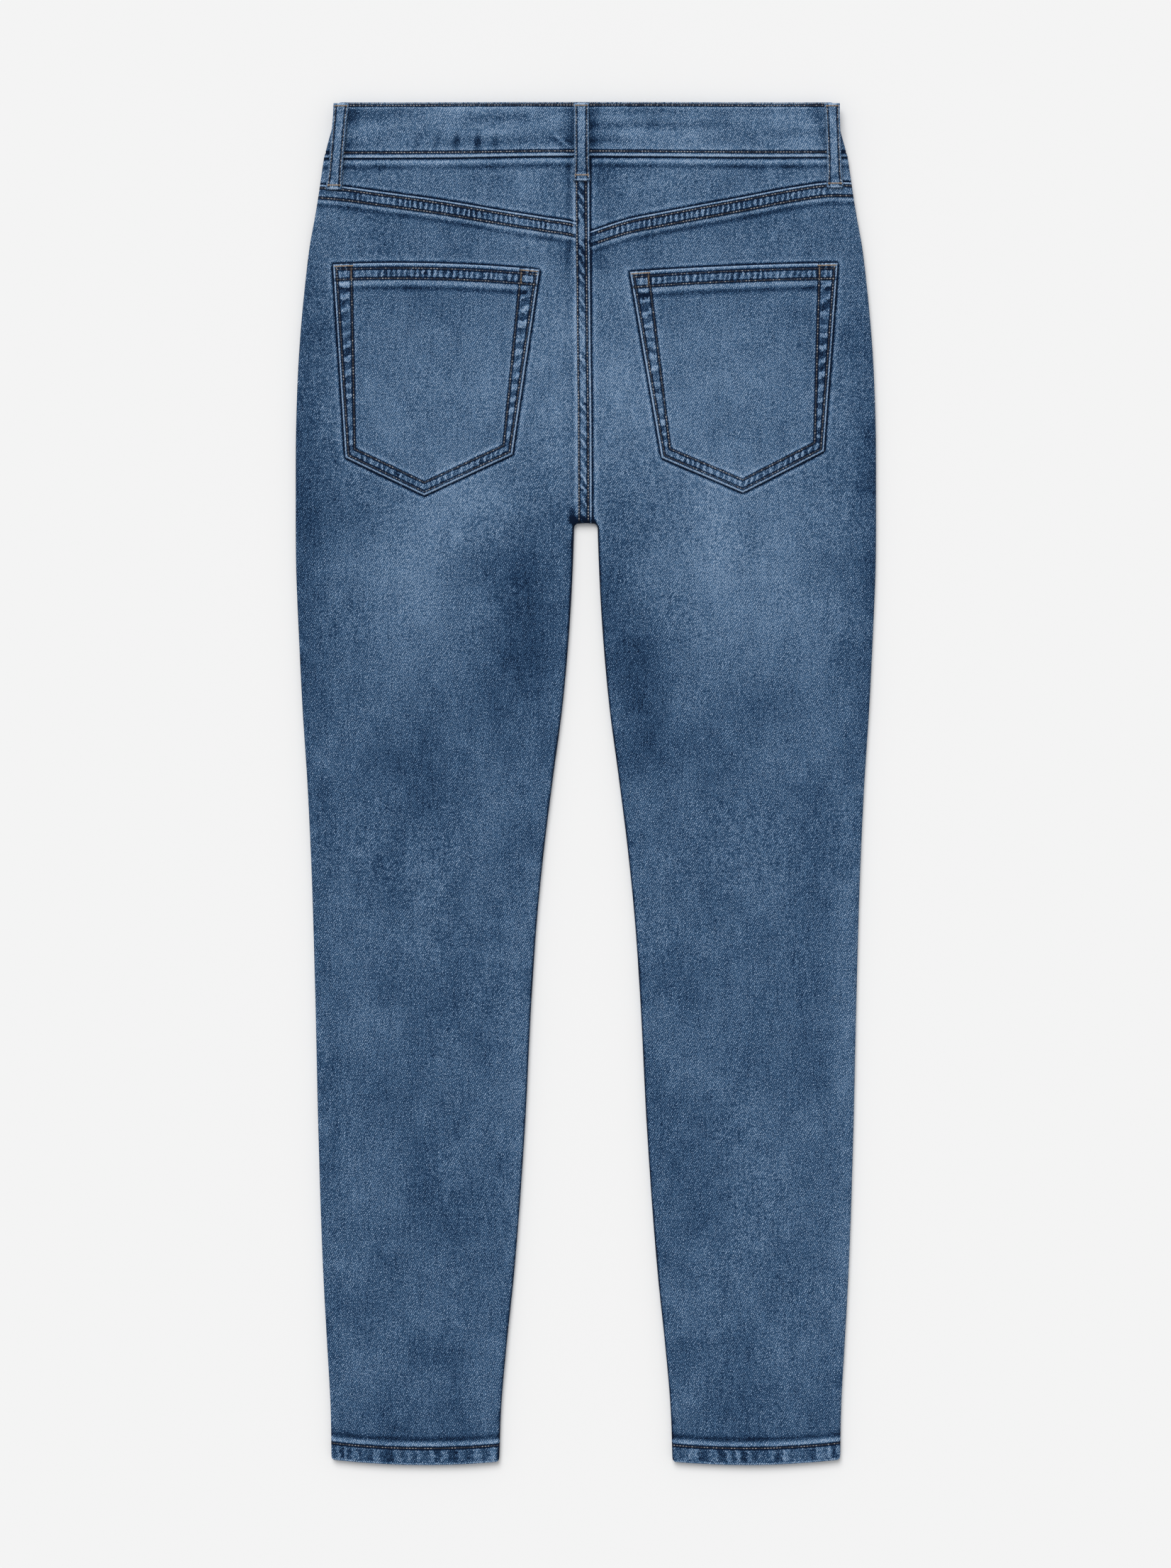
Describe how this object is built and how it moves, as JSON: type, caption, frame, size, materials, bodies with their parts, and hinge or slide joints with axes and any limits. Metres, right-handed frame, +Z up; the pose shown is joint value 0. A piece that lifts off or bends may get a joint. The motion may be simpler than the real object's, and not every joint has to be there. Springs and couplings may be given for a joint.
{
  "type": "skinny jeans",
  "caption": "Ankle-length skinny jeans in mid-blue stretch denim, laid out flat with the back up: yoke, patch pockets, belt loops, waistband and turned hems.",
  "frame": {"origin": "centre of the bounding box's bottom, on the surface that the jeans lie on", "axes": "+X towards the wearer's right side, which is the viewer's right with the back up; +Y from the hems to the waist; +Z up, out of the back"},
  "size_m": [0.4266, 1, 0.0122],
  "materials": {
    "denim": "washed mid-blue stretch denim, right-hand twill, soft and matt, faded over the seat and thighs",
    "denim_worn": "the same denim worn paler, with abraded folded edges",
    "thread": "spun polyester topstitching, dark brown with tan bartacks",
    "button_metal": "aged copper-coloured tack button, plain cap"
  },
  "bodies": {
    "root": {"back_leg_left": "denim", "back_leg_right": "denim", "back_yoke_left": "denim", "back_yoke_right": "denim", "back_pocket_left": "denim", "back_pocket_right": "denim", "front_leg_left": "denim", "front_leg_right": "denim", "front_pocket_bearer_left": "denim", "front_pocket_bearer_right": "denim", "waistband": "denim", "belt_loop_back_left": "denim_worn", "belt_loop_back_center": "denim_worn", "belt_loop_back_right": "denim_worn", "belt_loop_front_left": "denim_worn", "belt_loop_front_right": "denim_worn", "waist_button": "button_metal"}
  },
  "joints": []
}
